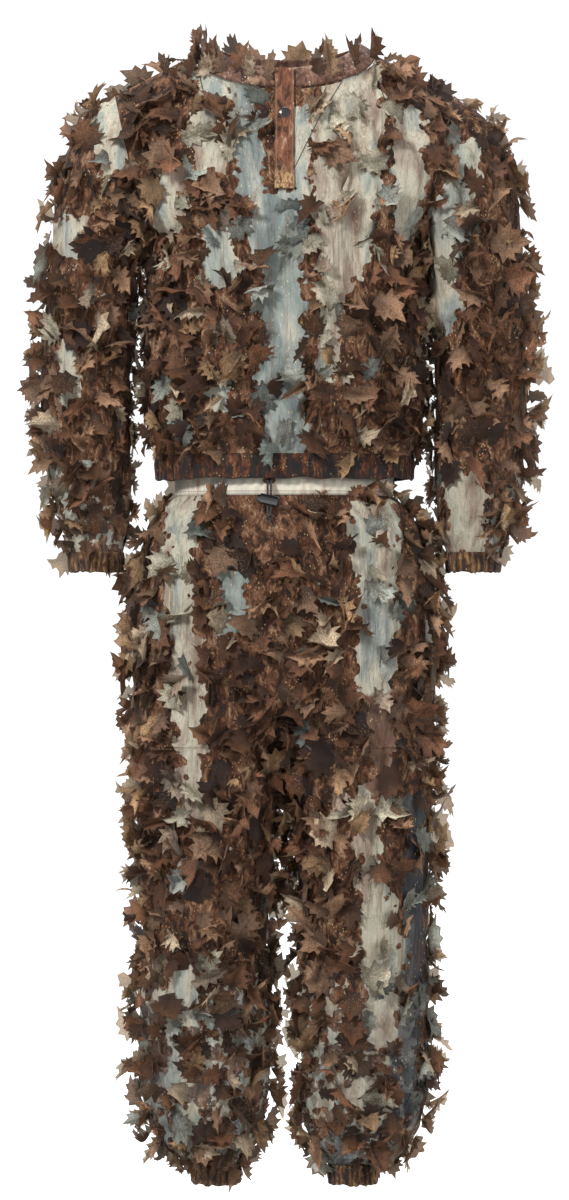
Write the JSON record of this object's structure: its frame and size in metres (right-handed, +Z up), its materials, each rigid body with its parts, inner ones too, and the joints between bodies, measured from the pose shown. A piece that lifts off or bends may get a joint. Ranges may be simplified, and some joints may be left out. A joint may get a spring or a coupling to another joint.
{
  "type": "ghillie suit",
  "caption": "Two-piece leafy camouflage suit: pullover jacket with a snap placket and elastic hem and cuffs, and drawcord trousers with elastic ankles, shaped as worn.",
  "frame": {"origin": "middle of the neck opening, inside the neckband", "axes": "+Z up, the wearer faces -Y, +X to the wearer's left, which is the viewer's right from the front"},
  "size_m": [0.7254, 0.2793, 1.6378],
  "materials": {
    "mesh_cloth": "matte, sheer mesh printed with bark and leaf litter",
    "leaf_cloth": "matte, die-cut cloth leaves in several browns",
    "band_cloth": "matte, gathered bark print",
    "waistband_cloth": "matte cream lining cloth",
    "elastic": "matte woven elastic",
    "cord_black": "matte braided cord",
    "lock_plastic": "gloss",
    "spring_steel": "bright wire",
    "snap_metal": "gloss black enamel"
  },
  "bodies": {
    "jacket": {"jacket_front": "mesh_cloth", "jacket_back": "mesh_cloth", "neckband": "band_cloth", "under_placket": "band_cloth", "snap_stud": "snap_metal", "snap_post": "snap_metal", "hem_band": "band_cloth", "hem_elastic": "elastic", "jacket_front_leaves": "leaf_cloth", "jacket_back_leaves": "leaf_cloth", "neckband_leaves": "leaf_cloth"},
    "placket_flap": {"placket": "band_cloth", "snap_cap": "snap_metal", "snap_socket": "snap_metal"},
    "trousers": {"trouser_front": "mesh_cloth", "trouser_back": "mesh_cloth", "waistband": "waistband_cloth", "waist_elastic": "elastic", "drawcord": "cord_black", "drawcord_tail_right": "cord_black", "drawcord_tail_left": "cord_black", "drawcord_knot": "cord_black", "trouser_front_leaves": "leaf_cloth", "trouser_back_leaves": "leaf_cloth"},
    "cord_lock": {"lock_barrel": "lock_plastic", "lock_spring": "spring_steel"},
    "lock_button": {"lock_button": "lock_plastic"},
    "right_sleeve": {"right_upper_sleeve": "mesh_cloth", "right_upper_sleeve_leaves": "leaf_cloth"},
    "right_forearm": {"right_lower_sleeve": "mesh_cloth", "right_lower_sleeve_leaves": "leaf_cloth", "right_cuff_band": "band_cloth", "right_cuff_elastic": "elastic"},
    "right_thigh": {"right_thigh": "mesh_cloth", "right_thigh_leaves": "leaf_cloth"},
    "right_shin": {"right_shin": "mesh_cloth", "right_shin_leaves": "leaf_cloth", "right_ankle_band": "band_cloth", "right_ankle_elastic": "elastic"},
    "left_sleeve": {"left_upper_sleeve": "mesh_cloth", "left_upper_sleeve_leaves": "leaf_cloth"},
    "left_forearm": {"left_lower_sleeve": "mesh_cloth", "left_lower_sleeve_leaves": "leaf_cloth", "left_cuff_band": "band_cloth", "left_cuff_elastic": "elastic"},
    "left_thigh": {"left_thigh": "mesh_cloth", "left_thigh_leaves": "leaf_cloth"},
    "left_shin": {"left_shin": "mesh_cloth", "left_shin_leaves": "leaf_cloth", "left_ankle_band": "band_cloth", "left_ankle_elastic": "elastic"}
  },
  "joints": [
    {"name": "placket_open", "type": "hinge", "parent": "jacket", "child": "placket_flap", "pos_m": [0.0138, -0.0833, -0.00736], "axis": [0, 0.1841, 0.9829], "range_deg": [0, 110]},
    {"name": "trousers_off", "type": "slide", "parent": "jacket", "child": "trousers", "axis": [0, 0, -1], "range_m": [0, 0.15]},
    {"name": "cord_lock_slide", "type": "slide", "parent": "trousers", "child": "cord_lock", "axis": [0, 0, 1], "range_m": [-0.008, 0.003]},
    {"name": "lock_button_press", "type": "slide", "parent": "cord_lock", "child": "lock_button", "axis": [0.9781, 0, -0.2079], "range_m": [0, 0.003], "stiffness_N_per_m": 600, "springref_m": -0.002, "deforming": ["lock_spring"]},
    {"name": "right_sleeve_raise", "type": "hinge", "parent": "jacket", "child": "right_sleeve", "pos_m": [0.2364, 0, -0.0358], "axis": [0, -1, 0], "range_deg": [0, 45]},
    {"name": "right_elbow_bend", "type": "hinge", "parent": "right_sleeve", "child": "right_forearm", "pos_m": [0.272, -0.0655, -0.3703], "axis": [-1, 0, 0], "range_deg": [0, 75], "stiffness_Nm_per_rad": 0.12, "springref_deg": -57.3},
    {"name": "right_hip_bend", "type": "hinge", "parent": "trousers", "child": "right_thigh", "pos_m": [0.105, -0.1056, -0.9455], "axis": [-1, 0, 0], "range_deg": [0, 50], "stiffness_Nm_per_rad": 0.6, "springref_deg": -57.3},
    {"name": "right_knee_bend", "type": "hinge", "parent": "right_thigh", "child": "right_shin", "pos_m": [0.112, 0.0786, -1.2453], "axis": [1, 0, 0], "range_deg": [0, 75], "stiffness_Nm_per_rad": 0.25, "springref_deg": -57.3},
    {"name": "left_sleeve_raise", "type": "hinge", "parent": "jacket", "child": "left_sleeve", "pos_m": [-0.2364, 0, -0.0358], "axis": [0, 1, 0], "range_deg": [0, 45]},
    {"name": "left_elbow_bend", "type": "hinge", "parent": "left_sleeve", "child": "left_forearm", "pos_m": [-0.272, -0.0655, -0.3703], "axis": [-1, 0, 0], "range_deg": [0, 75], "stiffness_Nm_per_rad": 0.12, "springref_deg": -57.3},
    {"name": "left_hip_bend", "type": "hinge", "parent": "trousers", "child": "left_thigh", "pos_m": [-0.105, -0.1056, -0.9455], "axis": [-1, 0, 0], "range_deg": [0, 50], "stiffness_Nm_per_rad": 0.6, "springref_deg": -57.3},
    {"name": "left_knee_bend", "type": "hinge", "parent": "left_thigh", "child": "left_shin", "pos_m": [-0.112, 0.0786, -1.2453], "axis": [1, 0, 0], "range_deg": [0, 75], "stiffness_Nm_per_rad": 0.25, "springref_deg": -57.3}
  ]
}
